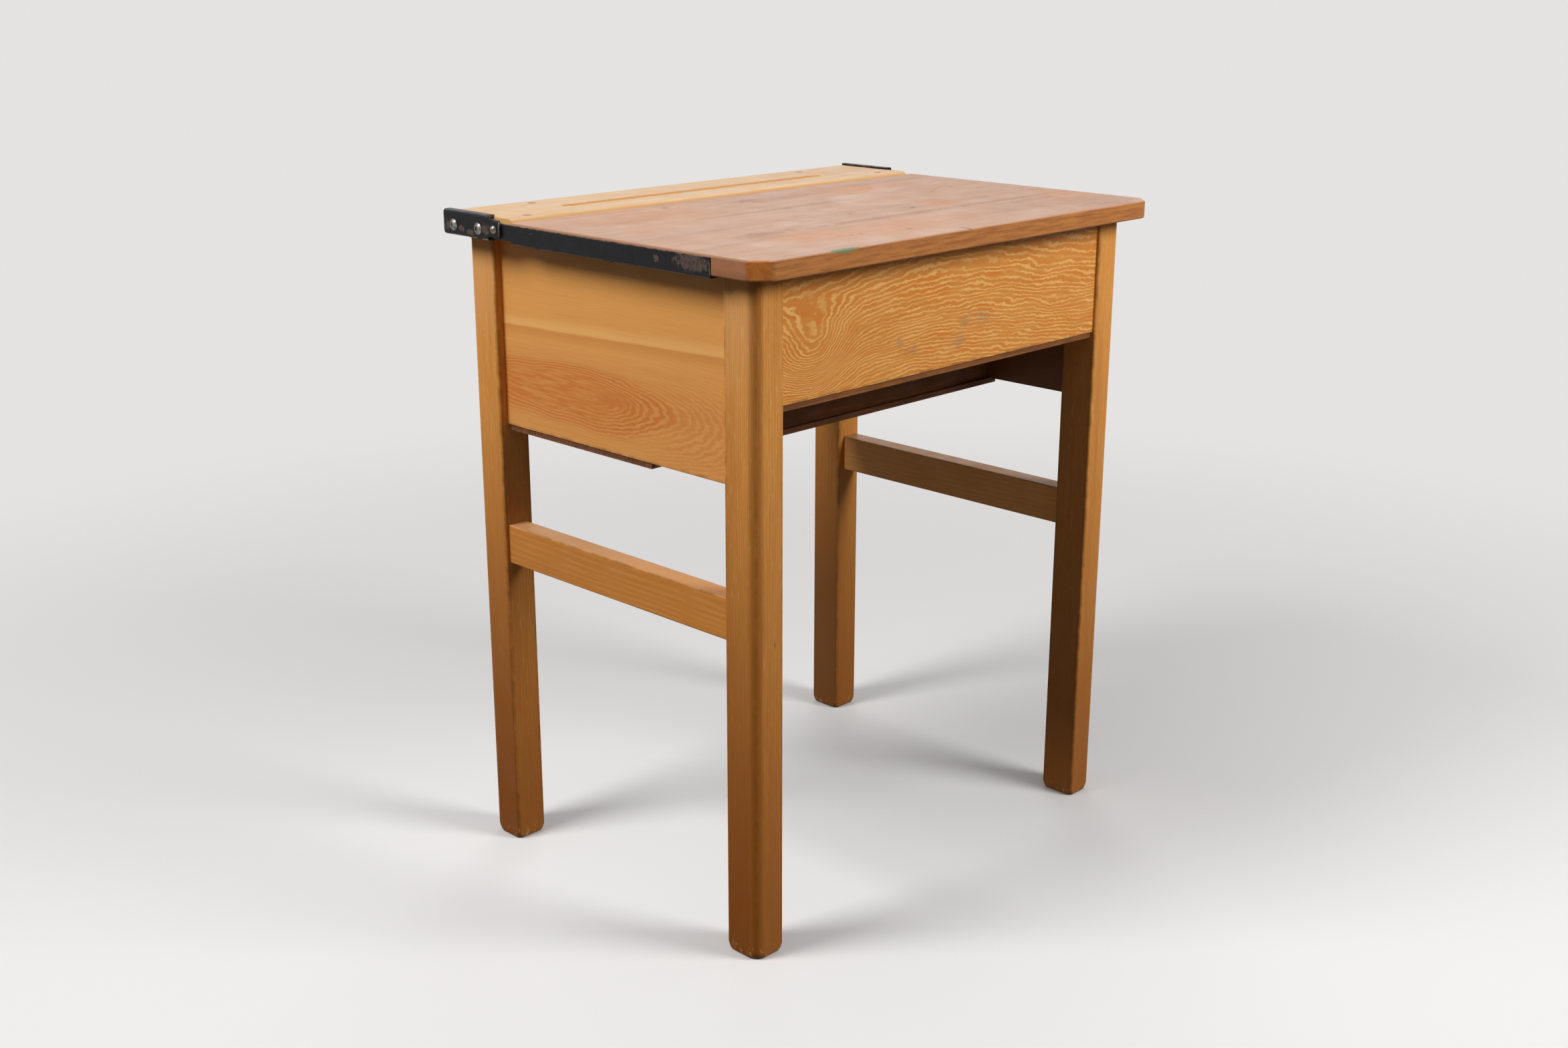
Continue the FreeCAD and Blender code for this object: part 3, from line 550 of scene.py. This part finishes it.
def lid_material():
    """Worn writing surface; golden front edge; end grain on the sides and clips; plain underside."""
    wood = Wood("lid_look", "X", 31.0)
    rings = wood.straight_rings((60.0, 610.0), 7.0, 26.0)
    pores = wood.ramp(wood.grain_noise(48, 1.4, 3.0, 0.55, 11.0), 0.6, 0.78, 0.0, 0.7)
    colour = writing_surface(wood, rings, pores)
    edge = wood.mix(wood.ramp(wood.grain_noise(40, 3.0, 4.0, 0.6, 13.0), 0.35, 0.7), *EDGE_TONES)
    facing = wood.facing()
    colour = wood.mix(wood.ramp(facing[2], 0.75, 0.35), colour, edge)
    rim = wood.times(wood.ramp(facing[2], 0.35, 0.7), wood.ramp(facing[2], 0.99, 0.8))
    colour = wood.tint(colour, RIM_TONE, rim, 0.4)
    end = wood.ramp(wood.math("ABSOLUTE", facing[0]), 0.4, 0.65)
    colour = wood.mix(end, colour, end_grain(wood, facing))
    dents = wood.ramp(wood.noise((5.0, 3.0, 3.0), seed=61.0), 0.68, 0.76)
    colour = wood.tint(colour, DENT_TONE, wood.ramp(wood.y, *LID_FRONT), dents, 0.6)
    colour = wood.tint(colour, PAINT_TONE, wood.spot(*GREEN_PAINT, 0.3, 0.5, 5.0), 0.8)
    under = wood.body(*UNDER_TONES, rings, broken=60.0, patch_size=(260, 34), patch_strength=0.5)
    under = wood.tint(under, UNDER_STREAK, pores, 0.6)
    colour = wood.mix(wood.ramp(facing[2], -0.5, -0.8), colour, under)
    return wood.finish(colour, (0.5, 0.64), 0.3, 0.3)


# ---- Ledge and plugs ----------------------------------------------------------------
LEDGE_TONES = (srgb(203, 167, 127), srgb(219, 189, 150), srgb(176, 133, 90))     # base, light, dark
LEDGE_ROUNDING = srgb(214, 158, 92)
LEDGE_GROOVE = srgb(206, 150, 82)
GROOVE_Y = (162.0, 182.0)
GROOVE_Z = (707.3, 703.5)
# Dents: centres; radii; raggedness; strength; tone.
LEDGE_DENTS = ((((158, 121, 706), (122, 121, 706), (-150, 122, 706.5)),
                (2.6, 3.0, 2.0), 0.4, 0.6, srgb(128, 80, 46)),
               (((-222, 203, 708), (205, 198, 708), (-95, 199, 708)),
                (4.5, 2.2, 2.0), 0.5, 0.35, srgb(150, 92, 64)))


def ledge_material():
    wood = Wood("ledge_look", "X", 45.0)
    rings = wood.straight_rings((20.0, 560.0), 9.0, 22.0)
    colour = wood.body(*LEDGE_TONES, rings, line_strength=0.35, broken=70.0, patch_size=(360, 30),
                       patch_strength=0.35, fibre_strength=0.25)
    colour = wood.tint(colour, LEDGE_ROUNDING, wood.ramp(wood.facing()[2], 0.97, 0.6), 0.8)
    groove = wood.times(wood.ramp(wood.z, *GROOVE_Z), wood.ramp(wood.y, GROOVE_Y[0] - 2, GROOVE_Y[0] + 2),
                        wood.ramp(wood.y, GROOVE_Y[1] + 2, GROOVE_Y[1] - 2))
    colour = wood.tint(colour, LEDGE_GROOVE, groove, 0.4)
    for places, radii, ragged, strength, tone in LEDGE_DENTS:
        for place in places:
            colour = wood.tint(colour, tone, wood.spot(place, radii, 0.4, ragged, 3.0), strength)
    return wood.finish(colour, (0.42, 0.6), 0.25)


PLUG_TONES = (srgb(132, 84, 52), srgb(160, 108, 70), srgb(84, 50, 34))     # base, light, dark
PLUG_PALE = srgb(176, 112, 70)


def plug_material():
    """Dark plugs, the left ones a little paler."""
    wood = Wood("plug_look", "Z", 52.0)
    rings = wood.straight_rings((0.0, 180.0), 1.6, 2.0)
    colour = wood.body(*PLUG_TONES, rings)
    colour = wood.tint(colour, PLUG_PALE, wood.ramp(wood.x, 0.0, -240.0), 0.35)
    return wood.finish(colour)


# ---- Metal --------------------------------------------------------------------------
PAINT_TONES = (srgb(8, 9, 13), srgb(18, 17, 21))
RUST_TONES = (srgb(60, 48, 43), srgb(94, 78, 71))
PAINT_RUBBED_AND_SHEEN = srgb(86, 84, 86)
STEEL_BARE = srgb(158, 144, 126)

# Per black part: its material's name; seed; places and radii rubbed bare; wear along its edges.
BLACK_PARTS = {
    "hinge_arm_left": ("arm_left_look", 1.0, (
        ((-305.0, -142.0, 696.0), (3.0, 21.0, 8.0)), ((-305.0, -94.0, 694.5), (3.0, 3.5, 3.0))), 0.5),
    "hinge_arm_right": ("arm_right_look", 3.0, (((305.0, 40.0, 694.0), (3.0, 14.0, 5.0)),), 0.5),
    "hinge_bracket_left": ("bracket_left_look", 5.0, (
        ((-308.0, 199.0, 692.5), (3.0, 5.0, 3.2)), ((-308.0, 184.0, 690.0), (3.0, 6.0, 3.0)),
        ((-308.0, 222.0, 694.0), (3.0, 4.0, 5.5)), ((-308.0, 158.0, 696.0), (3.0, 5.5, 5.5)),
        ((-308.0, 141.0, 706.0), (3.0, 6.0, 1.4)), ((-304.0, 156.0, 710.0), (5.0, 4.0, 3.0)),
        ((-308.0, 228.0, 700.0), (3.0, 1.4, 12.0)), ((-308.0, 136.0, 697.0), (3.0, 1.2, 8.0))), 0.8),
    "hinge_bracket_right": ("bracket_right_look", 7.0, (((303.0, 190.0, 710.0), (5.0, 8.0, 3.0)),), 0.8)}


def black_steel(node):
    """Chipped black paint over brown, dulled steel; rubbed grey where it faces up, partly a painted sheen.
    """
    name, seed, bare, edge_wear = BLACK_PARTS[node]
    metal = Shader(name, 0.45, specular=0.18)
    blotch = metal.noise(14, 4.0, 0.6, seed)
    paint = metal.mix(metal.ramp(blotch, 0.35, 0.7), *PAINT_TONES)
    chips = metal.ramp(metal.noise(7, 4.0, 0.65, seed + 2.0), 0.66, 0.7)
    spots = [metal.spot(place, radii, 0.25, 0.6, 5.0) for place, radii in bare]
    distance = metal.edge_distance(node)
    uneven = metal.ramp(metal.noise(8, 3.0, 0.6, seed + 4.0), 0.4, 0.6)
    edge = metal.times(metal.ramp(distance, 1.6, 0.3), uneven, edge_wear)
    worn = metal.most(metal.times(chips, 0.7), *spots, edge)
    rust = metal.mix(metal.ramp(metal.noise(3, 3.0, 0.6, seed + 6.0), 0.3, 0.7), *RUST_TONES)
    rubbed_and_painted_light = metal.ramp(metal.noise(16, 3.0, 0.6, seed + 10.0), 0.25, 0.6, 0.35, 1.0)
    # Faces that face up drawn grey: partly rubbed paint, partly a painted sheen.
    paint = metal.tint(paint, PAINT_RUBBED_AND_SHEEN, metal.ramp(metal.facing()[2], 0.5, 0.95), rubbed_and_painted_light)
    colour = metal.mix(worn, paint, rust)
    colour = metal.tint(colour, STEEL_BARE, metal.ramp(distance, 0.9, 0.2), uneven, edge_wear)
    metal.set("Base Color", colour)
    metal.set("Metallic", metal.times(worn, 0.45))
    fine = metal.noise(2.0, 3.0, 0.6, seed + 8.0)
    metal.set("Roughness", metal.ramp(fine, 0.2, 0.8, 0.34, 0.55))
    metal.bump(metal.minus(metal.times(fine, 0.35), metal.times(worn, 0.5)), 0.35, 0.15)
    return metal.material


def screw_steel(name, bright=srgb(150, 147, 141), dull=srgb(78, 74, 70)):
    metal = Shader(name, 0.35, 1.0)
    stain = metal.noise(3, 4.0, 0.6, 5.0)
    metal.set("Base Color", metal.mix(metal.ramp(stain, 0.35, 0.7), bright, dull))
    metal.set("Roughness", metal.ramp(stain, 0.3, 0.7, 0.26, 0.46))
    metal.bump(metal.noise(0.8, seed=9.0), 0.2, 0.05)
    return metal.material


# ---- Cross-slot screws --------------------------------------------------------------
# Radius and height above the seat, in millimetres, from the crown down to the point.
PAN_SCREW = ((0.0, 2.85), (1.5, 2.8), (3.0, 2.55), (4.1, 2.1), (4.9, 1.5), (5.35, 0.95), (5.65, 0.75),
             (6.0, 0.6), (6.1, 0.4), (6.1, 0.02), (2.3, 0.0), (2.3, -10.0), (0.0, -13.0))
PAN_SEGMENTS = 48
CROSS_ARM = 3.5          # half length of the cross slot
CROSS_WIDTH = 0.85       # half width at the mouth
CROSS_FLOOR = 1.25       # height of the slot's floor above the seat
CROSS_MOUTH = 4.0        # above the crown
SCREW_INSET = 0.04       # crown inside the CAD screw's crown
SCREW_Z = 695.0
SCREWS = ((-1, 211.5, 12), (-1, 170.5, 40), (1, 211.5, 63), (1, 170.5, 25))     # side, y, turn in degrees


def as_object(name, shape):
    """Turns a bmesh into a linked object of that name."""
    mesh = bpy.data.meshes.new(name)
    shape.to_mesh(mesh)
    shape.free()
    thing = bpy.data.objects.new(name, mesh)
    bpy.context.scene.collection.objects.link(thing)
    return thing


def turned(profile, segments):
    """Solid of revolution about the X axis; the profile's heights run along X."""
    shape = bmesh.new()
    rows = []
    for radius, height in profile:
        if radius == 0.0:
            rows.append([shape.verts.new((height, 0.0, 0.0))])
            continue
        angles = [math.tau * index / segments for index in range(segments)]
        rows.append([shape.verts.new((height, radius * math.cos(a), radius * math.sin(a))) for a in angles])
    for upper, lower in zip(rows, rows[1:]):
        for index in range(segments):
            following = (index + 1) % segments
            if len(upper) == 1:
                shape.faces.new((upper[0], lower[index], lower[following]))
            elif len(lower) == 1:
                shape.faces.new((upper[index], lower[0], upper[following]))
            else:
                shape.faces.new((upper[index], lower[index], lower[following], upper[following]))
    bmesh.ops.recalc_face_normals(shape, faces=shape.faces)
    return shape


def cross_cutter():
    """Two crossed bars, narrower at the slot's floor than at its mouth."""
    shape = bmesh.new()
    for angle in (0.0, math.pi / 2):
        turn = Matrix.Rotation(angle, 3, "X")
        corners = []
        for height, half_length, half_width in ((CROSS_FLOOR, CROSS_ARM * 0.62, CROSS_WIDTH * 0.7),
                                                (CROSS_MOUTH, CROSS_ARM, CROSS_WIDTH)):
            for side_y, side_z in ((-1, -1), (1, -1), (1, 1), (-1, 1)):
                corner = turn @ Vector((height, side_y * half_length, side_z * half_width))
                corners.append(shape.verts.new(corner))
        for loop in ((3, 2, 1, 0), (4, 5, 6, 7), (0, 1, 5, 4), (1, 2, 6, 5), (2, 3, 7, 6), (3, 0, 4, 7)):
            shape.faces.new([corners[index] for index in loop])
    bmesh.ops.recalc_face_normals(shape, faces=shape.faces)
    return shape


def slotted_head():
    """One screw in millimetres about its seat, axis along X, with the cross slot cut into its crown."""
    head = as_object("head", turned(PAN_SCREW, PAN_SEGMENTS))
    cutter = as_object("cutter", cross_cutter())
    cut = head.modifiers.new("cut", "BOOLEAN")
    cut.operation = "DIFFERENCE"
    cut.solver = "EXACT"
    cut.use_self = True
    cut.object = cutter
    result = bmesh.new()
    result.from_object(head, bpy.context.evaluated_depsgraph_get())
    for thing in (head, cutter):
        bpy.data.objects.remove(thing, do_unlink=True)
    return result


def make_screws():
    """The four dome-headed screws that hold the hinge brackets, each turned its own way."""
    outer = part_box("bracket_screws")[1][0]
    seat = outer / MM - PAN_SCREW[0][1] - SCREW_INSET
    pattern = bpy.data.meshes.new("pattern")
    shape = slotted_head()
    shape.to_mesh(pattern)
    shape.free()
    whole = bmesh.new()
    for side, y, angle in SCREWS:
        start = len(whole.verts)
        whole.from_mesh(pattern)
        whole.verts.ensure_lookup_table()
        outwards = Matrix.Rotation(0.0 if side > 0 else math.pi, 4, "Z")
        place = (Matrix.Scale(MM, 4) @ Matrix.Translation((side * seat, y, SCREW_Z))
                 @ outwards @ Matrix.Rotation(math.radians(angle), 4, "X"))
        bmesh.ops.transform(whole, matrix=place, verts=whole.verts[start:])
    screws = as_object("cross_slot_screws", whole)
    screws.data.shade_smooth()
    screws.data.set_sharp_from_angle(angle=math.radians(32))
    screws.data.materials.append(screw_steel("cross_slot_screws_look"))
    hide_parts("bracket_screws")
    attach(screws, "desk_frame")


# ---- Worn arrises and feet ----------------------------------------------------------
CORNER_STEPS = 6


def keep_inside(node, body, levels):
    """Wears the node down to a rounded envelope: levels are (height, outline points), lowest first."""
    shape = bmesh.new()
    rings = [[shape.verts.new((x * MM, y * MM, height * MM)) for x, y in outline]
             for height, outline in levels]
    count = len(rings[0])
    for lower, upper in zip(rings, rings[1:]):
        for index in range(count):
            following = (index + 1) % count
            shape.faces.new((lower[index], lower[following], upper[following], upper[index]))
    shape.faces.new(rings[0][::-1])
    shape.faces.new(rings[-1])
    bmesh.ops.recalc_face_normals(shape, faces=shape.faces)
    envelope = as_object(node + "_envelope", shape)
    envelope.data.shade_smooth()
    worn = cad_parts[node]
    envelope.data.materials.append(worn.material_slots[0].material)
    envelope.hide_render = True
    envelope.hide_viewport = True
    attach(envelope, body)
    weld = worn.modifiers.new("weld", "WELD")
    weld.merge_threshold = 0.002 * MM
    cut = worn.modifiers.new("worn", "BOOLEAN")
    cut.operation = "INTERSECT"
    cut.solver = "EXACT"
    cut.object = envelope
    split = worn.modifiers.new("crisp_edges", "EDGE_SPLIT")
    split.split_angle = math.radians(30)
    even = worn.modifiers.new("even_faces", "WEIGHTED_NORMAL")
    even.keep_sharp = True


# Height above the floor; how far the sides draw in; how much rounder the corners get (mm).
WORN_FOOT = ((-1.0, 1.3, 8.0), (0.0, 1.3, 8.0), (0.3, 0.9, 7.4), (0.8, 0.55, 6.5), (1.6, 0.25, 5.4),
             (2.8, 0.08, 4.1), (4.4, 0.0, 2.8), (6.5, -0.1, 1.5), (9.0, -0.3, 0.5), (12.0, -0.6, 0.0),
             (18.0, -1.5, 0.0), (700.0, -1.5, 0.0))
OUTER_ROUNDING = 9.0     # radius of a leg's outer corner
INNER_ROUNDING = 2.5     # radius of its other corners


def foot_outline(low, high, inset, radii):
    """Points round a rectangle with its own radius at each corner, from the low corner anticlockwise."""
    points = []
    turns = ((low.x + inset, low.y + inset, 180), (high.x - inset, low.y + inset, 270),
             (high.x - inset, high.y - inset, 0), (low.x + inset, high.y - inset, 90))
    for (x, y, start), radius in zip(turns, radii):
        middle_x = x + radius * (1 if start in (180, 90) else -1)
        middle_y = y + radius * (1 if start in (180, 270) else -1)
        for step in range(CORNER_STEPS + 1):
            angle = math.radians(start + 90 * step / CORNER_STEPS)
            points.append((middle_x + radius * math.cos(angle), middle_y + radius * math.sin(angle)))
    return points


def wear_foot(node):
    """Rounds off the leg's foot, most at its corners."""
    low, high = (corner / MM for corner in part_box(node))
    outer = (low.x if low.x < 0 else high.x, low.y if low.y < 0 else high.y)
    levels = []
    for height, inset, extra in WORN_FOOT:
        radii = []
        for corner in ((low.x, low.y), (high.x, low.y), (high.x, high.y), (low.x, high.y)):
            plain = OUTER_ROUNDING if corner == outer else INNER_ROUNDING
            radii.append(plain - min(inset, 0.0) + extra)
        levels.append((height, foot_outline(low, high, inset, radii)))
    keep_inside(node, "desk_frame", levels)


LID_CLIP = 17.0          # leg of the clipped corner
LID_ARRIS = 2.2          # radius of the rubbed arris
ARRIS_CLEAR = 0.06       # the envelope's sides stand this far outside the lid's own
ARRIS_ANGLES = (0, 12, 26, 40, 54, 68, 80, 90)
CLIP_ROUNDINGS = (2.4, 4.5)      # rounding at the clip's side end and front end


def lid_outline(low, high, inset):
    """The lid's outline drawn in by inset at the sides, front and clips; its rear edge stays clear."""
    slide = inset * (math.sqrt(2) - 1)
    side = high.x - inset
    corners = (((side, low.y + LID_CLIP + slide), (0.0, 1.0), (-1.0, -1.0)),
               ((high.x - LID_CLIP - slide, low.y + inset), (1.0, 1.0), (-1.0, 0.0)))
    half = [(side, high.y + 5.0)]
    for (place, before, after), rounding in zip(corners, CLIP_ROUNDINGS):
        corner = Vector(place)
        start = corner + Vector(before).normalized() * rounding
        end = corner + Vector(after).normalized() * rounding
        for step in range(CORNER_STEPS + 1):
            share = step / CORNER_STEPS
            point = start * (1 - share) ** 2 + corner * 2 * share * (1 - share) + end * share ** 2
            half.append((point.x, point.y))
    return [(-x, y) for x, y in half] + half[::-1]


def wear_lid():
    """Rubs the lid's arrises round along its sides, front and clips."""
    low, high = (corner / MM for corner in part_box("lid"))
    lower, upper = [], []
    for angle in ARRIS_ANGLES:
        rise = LID_ARRIS * (1 - math.sin(math.radians(angle)))
        inset = LID_ARRIS * (1 - math.cos(math.radians(angle))) - ARRIS_CLEAR
        outline = lid_outline(low, high, inset)
        lower.insert(0, (low.z + rise, outline))
        upper.append((high.z - rise, outline))
    below = (low.z - 1.0, lower[0][1])
    above = (high.z + 1.0, upper[-1][1])
    keep_inside("lid", "lid_assembly", [below] + lower + upper + [above])


# ---- Dressing the CAD nodes ---------------------------------------------------------
def dress(node, material):
    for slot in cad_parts[node].material_slots:
        slot.material = material


def dress_all():
    # The painted shade on the legs' sideways faces is set leg by leg, least on the front right leg and most
    # on the back right one.
    dress("leg_front_left", leg_material("leg_front_left", 1.0, (-330.0, -120.0), 0.4, (-283.0, -200.5)))
    dress("leg_front_right", leg_material("leg_front_right", 2.0, (200.0, -260.0), 0.3, dirt_and_painted_shade=0.3,
                                          side_shade_tone=srgb(168, 110, 62)))
    dress("leg_back_left", leg_material("leg_back_left", 3.0, (-350.0, 300.0), 0.3))
    dress("leg_back_right", leg_material("leg_back_right", 4.0, (340.0, 160.0), 0.3, dirt_and_painted_shade=1.4,
                                         side_shade_tone=srgb(130, 82, 40)))
    dress("stretcher_left", stretcher_material("stretcher_left", 5.0))
    dress("stretcher_right", stretcher_material("stretcher_right", 6.0))
    dress("side_panel_left", side_panel_material("side_panel_left", 7.0, 42.0, 536.0, 598.5))
    dress("side_panel_right", side_panel_material("side_panel_right", 8.0, -20.0, 560.0, 640.0))
    dress("front_panel", wild_panel_material("front_panel", 9.0, FRONT_WHORLS, FRONT_SMUDGES))
    dress("back_panel", wild_panel_material("back_panel", 19.0, BACK_WHORLS))
    dress("riser_board", inner_material("riser_board", 11.0))
    dress("front_floor", inner_material("front_floor", 12.0))
    dress("bottom_board", inner_material("bottom_board", 13.0, BOTTOM_BASE))
    dress("lid", lid_material())
    dress("rear_ledge", ledge_material())
    dress("ledge_plugs", plug_material())
    for node in BLACK_PARTS:
        dress(node, black_steel(node))
    dress("pivot_rivets", screw_steel("rivet_look", srgb(140, 134, 124), srgb(62, 56, 52)))
    # The arm screws sit under the arm's flange: their dark tones are partly dark rusted steel and partly
    # painted shade.
    dress("arm_screws", screw_steel("arm_screws_painted_shade_look", srgb(70, 64, 58), srgb(40, 34, 30)))
    for node in ("bracket_screws", "ledge_screws", "board_brads", "floor_brads"):
        dress(node, screw_steel(node + "_look"))


# ---- Floor, light and camera --------------------------------------------------------
PALE = (0.78, 0.77, 0.76, 1.0)
FLOOR_SEEN = (0.74, 0.73, 0.72, 1.0)
FLOOR_LIGHTING = (0.10, 0.097, 0.094, 1.0)     # what the floor gives back to the desk
FLOOR_RADIUS = 80.0
FADE = (0.35, 2.1)       # metres from the middle over which the floor turns into the backdrop

# Name; place; target; size; power.
LAMPS = (("left_lamp", (-1.87, 0.62, 2.25), (0.0, 0.0, 0.65), 1.1, 56.5),
         ("front_lamp", (0.68, -1.74, 1.59), (0.0, 0.0, 0.65), 0.9, 34.5),
         ("back_lamp", (1.9, 1.7, 2.3), (0.0, 0.0, 0.5), 1.5, 12.0))

CAMERA_PLACE = (-1.424, -1.3453, 0.9602)
CAMERA_TURN = (-45.825, -17.258, 0.103)     # yaw, pitch and roll in degrees
CAMERA_LENS = 42.123


def backdrop_rays(tree):
    """1 for the rays that show the backdrop itself: camera, mirror and glass rays."""
    path = add_node(tree, "LightPath").outputs
    total = path["Is Camera Ray"]
    for name in ("Is Glossy Ray", "Is Transmission Ray"):
        total = add_node(tree, "Math", {0: total, 1: path[name]}, operation="MAXIMUM").outputs[0]
    return total


def make_floor():
    """Pale floor that keeps the desk's shadow near it and runs into an even backdrop further off."""
    shape = bmesh.new()
    bmesh.ops.create_circle(shape, cap_ends=True, segments=96, radius=FLOOR_RADIUS)
    floor = as_object("studio_floor", shape)
    material = bpy.data.materials.new("floor_look")
    material.use_nodes = True
    tree = material.node_tree
    surface = tree.nodes["Principled BSDF"]
    surface.inputs["Roughness"].default_value = 0.9
    surface.inputs["Specular IOR Level"].default_value = 0.0
    seen = backdrop_rays(tree)
    colour = add_node(tree, "Mix", {0: seen, 6: FLOOR_LIGHTING, 7: FLOOR_SEEN}, data_type="RGBA")
    tree.links.new(colour.outputs[2], surface.inputs["Base Color"])
    place = add_node(tree, "TexCoord").outputs["Object"]
    reach = add_node(tree, "VectorMath", {0: place}, operation="LENGTH").outputs["Value"]
    far = add_node(tree, "MapRange", {"Value": reach, "From Min": FADE[0], "From Max": FADE[1]},
                   interpolation_type="SMOOTHSTEP")
    share = add_node(tree, "Math", {0: far.outputs[0], 1: seen}, operation="MULTIPLY")
    glow = add_node(tree, "Emission", {"Color": PALE})
    blend = add_node(tree, "MixShader", {0: share.outputs[0], 1: surface.outputs[0], 2: glow.outputs[0]})
    tree.links.new(blend.outputs[0], tree.nodes["Material Output"].inputs["Surface"])
    floor.data.materials.append(material)


def make_world():
    """Soft sky, brighter overhead; the backdrop's own tone where it is seen."""
    world = bpy.data.worlds.new("studio")
    bpy.context.scene.world = world
    world.use_nodes = True
    tree = world.node_tree
    light = tree.nodes["Background"]
    light.inputs["Color"].default_value = (0.97, 0.97, 1.0, 1.0)
    direction = add_node(tree, "TexCoord").outputs["Generated"]
    height = add_node(tree, "SeparateXYZ", {0: direction}).outputs["Z"]
    strength = add_node(tree, "MapRange", {"Value": height, "From Min": 0.1, "From Max": 0.9,
                                           "To Min": 0.07, "To Max": 0.34})
    tree.links.new(strength.outputs[0], light.inputs["Strength"])
    backdrop = add_node(tree, "Background", {"Color": PALE})
    blend = add_node(tree, "MixShader", {0: backdrop_rays(tree), 1: light.outputs[0],
                                         2: backdrop.outputs[0]})
    tree.links.new(blend.outputs[0], tree.nodes["World Output"].inputs["Surface"])


def make_lights():
    for name, place, target, size, power in LAMPS:
        data = bpy.data.lights.new(name, "AREA")
        data.shape = "DISK"
        data.size = size
        data.energy = power
        lamp = bpy.data.objects.new(name, data)
        lamp.location = place
        lamp.rotation_euler = (Vector(target) - Vector(place)).to_track_quat("-Z", "Y").to_euler()
        lamp.visible_camera = False
        bpy.context.scene.collection.objects.link(lamp)


def make_camera():
    """The photo's own view of the desk."""
    yaw, pitch, roll = (math.radians(angle) for angle in CAMERA_TURN)
    level = math.cos(pitch)
    forward = Vector((-math.sin(yaw) * level, math.cos(yaw) * level, math.sin(pitch)))
    right = Vector((math.cos(yaw), math.sin(yaw), 0.0))
    up = right.cross(forward)
    rolled_right = right * math.cos(roll) + up * math.sin(roll)
    rolled_up = up * math.cos(roll) - right * math.sin(roll)
    data = bpy.data.cameras.new("camera")
    data.sensor_width = 36.0
    data.lens = CAMERA_LENS
    camera = bpy.data.objects.new("camera", data)
    basis = Matrix((rolled_right, rolled_up, -forward)).transposed().to_4x4()
    camera.matrix_world = Matrix.Translation(CAMERA_PLACE) @ basis
    bpy.context.scene.collection.objects.link(camera)
    bpy.context.scene.camera = camera


dress_all()
wear_lid()
for leg in ("leg_front_left", "leg_front_right", "leg_back_left", "leg_back_right"):
    wear_foot(leg)
make_screws()
make_floor()
make_world()
make_lights()
make_camera()
bpy.context.scene.view_settings.view_transform = "Standard"
